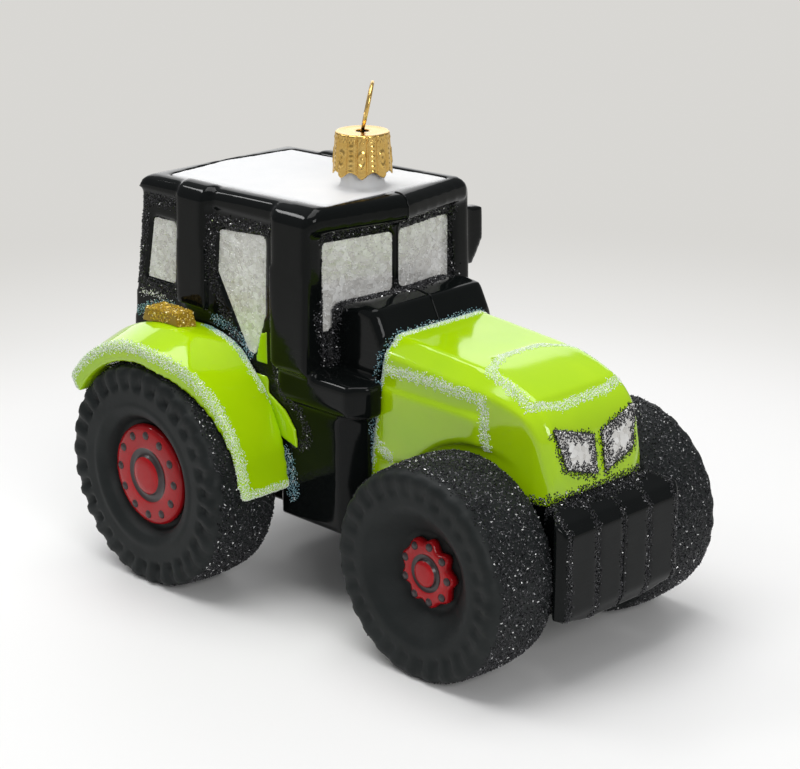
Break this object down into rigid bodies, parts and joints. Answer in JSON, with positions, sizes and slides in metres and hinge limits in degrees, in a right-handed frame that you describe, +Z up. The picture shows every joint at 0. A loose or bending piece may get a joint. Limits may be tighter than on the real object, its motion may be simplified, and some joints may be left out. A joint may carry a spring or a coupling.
{
  "type": "tractor-shaped glass tree ornament",
  "caption": "Blown-glass hanging ornament shaped as a farm tractor, with a hollow cab, moulded wheels, and a crown cap that pulls off with its swivelling wire loop.",
  "frame": {"origin": "on the table under the middle of the ornament, midway between the front block's face and the rear fender lips", "axes": "+X towards the tractor's front, +Y towards its left side, +Z up"},
  "size_m": [0.116, 0.0768, 0.1007],
  "materials": {
    "black_lacquer": "gloss black lacquer over blown glass",
    "tyre_lacquer": "matte charcoal lacquer with black glitter on the treads",
    "red_lacquer": "gloss red lacquer over silvered glass",
    "green_lacquer": "gloss lime green lacquer over silvered glass",
    "silvered_glass": "bare silvered glass with clear glitter",
    "white_lacquer": "matte white lacquer",
    "gold_glitter": "gold glitter over lacquer",
    "lamp_silver": "bare silvered glass framed in black glitter",
    "gold_metal": "gold-coloured stamped tinplate and wire"
  },
  "bodies": {
    "glass": {"axle_front_left": "black_lacquer", "axle_front_right": "black_lacquer", "axle_rear_left": "black_lacquer", "axle_rear_right": "black_lacquer", "cab_frame": "black_lacquer", "chassis": "black_lacquer", "cowl": "black_lacquer", "door_glass_left": "silvered_glass", "door_glass_right": "silvered_glass", "door_mirror": "black_lacquer", "door_panel_left": "green_lacquer", "door_panel_right": "green_lacquer", "door_post_left": "black_lacquer", "door_post_right": "black_lacquer", "fender_lamp_left": "gold_glitter", "fender_lamp_right": "gold_glitter", "fender_left": "green_lacquer", "fender_right": "green_lacquer", "front_block": "black_lacquer", "front_pillar_left": "black_lacquer", "front_pillar_right": "black_lacquer", "headlamp_left": "lamp_silver", "headlamp_right": "lamp_silver", "hood": "green_lacquer", "hub_front_left": "red_lacquer", "hub_front_right": "red_lacquer", "hub_rear_left": "red_lacquer", "hub_rear_right": "red_lacquer", "quarter_glass_left": "silvered_glass", "quarter_glass_right": "silvered_glass", "rear_body": "black_lacquer", "rear_window": "silvered_glass", "roof_panel": "white_lacquer", "roof_rim": "black_lacquer", "step_left": "black_lacquer", "step_right": "black_lacquer", "tank_left": "black_lacquer", "tank_right": "black_lacquer", "tyre_front_left": "tyre_lacquer", "tyre_front_right": "tyre_lacquer", "tyre_rear_left": "tyre_lacquer", "tyre_rear_right": "tyre_lacquer", "windscreen_left": "silvered_glass", "windscreen_right": "silvered_glass"},
    "cap": {"cap": "gold_metal"},
    "hanger": {"hanger": "gold_metal"}
  },
  "joints": [
    {"name": "cap_pull", "type": "slide", "parent": "glass", "child": "cap", "axis": [0, 0, 1], "range_m": [0, 0.022]},
    {"name": "hanger_swivel", "type": "hinge", "parent": "cap", "child": "hanger", "pos_m": [-0.0105, 0, 0.09095], "axis": [0, 0, 1], "continuous": true}
  ]
}
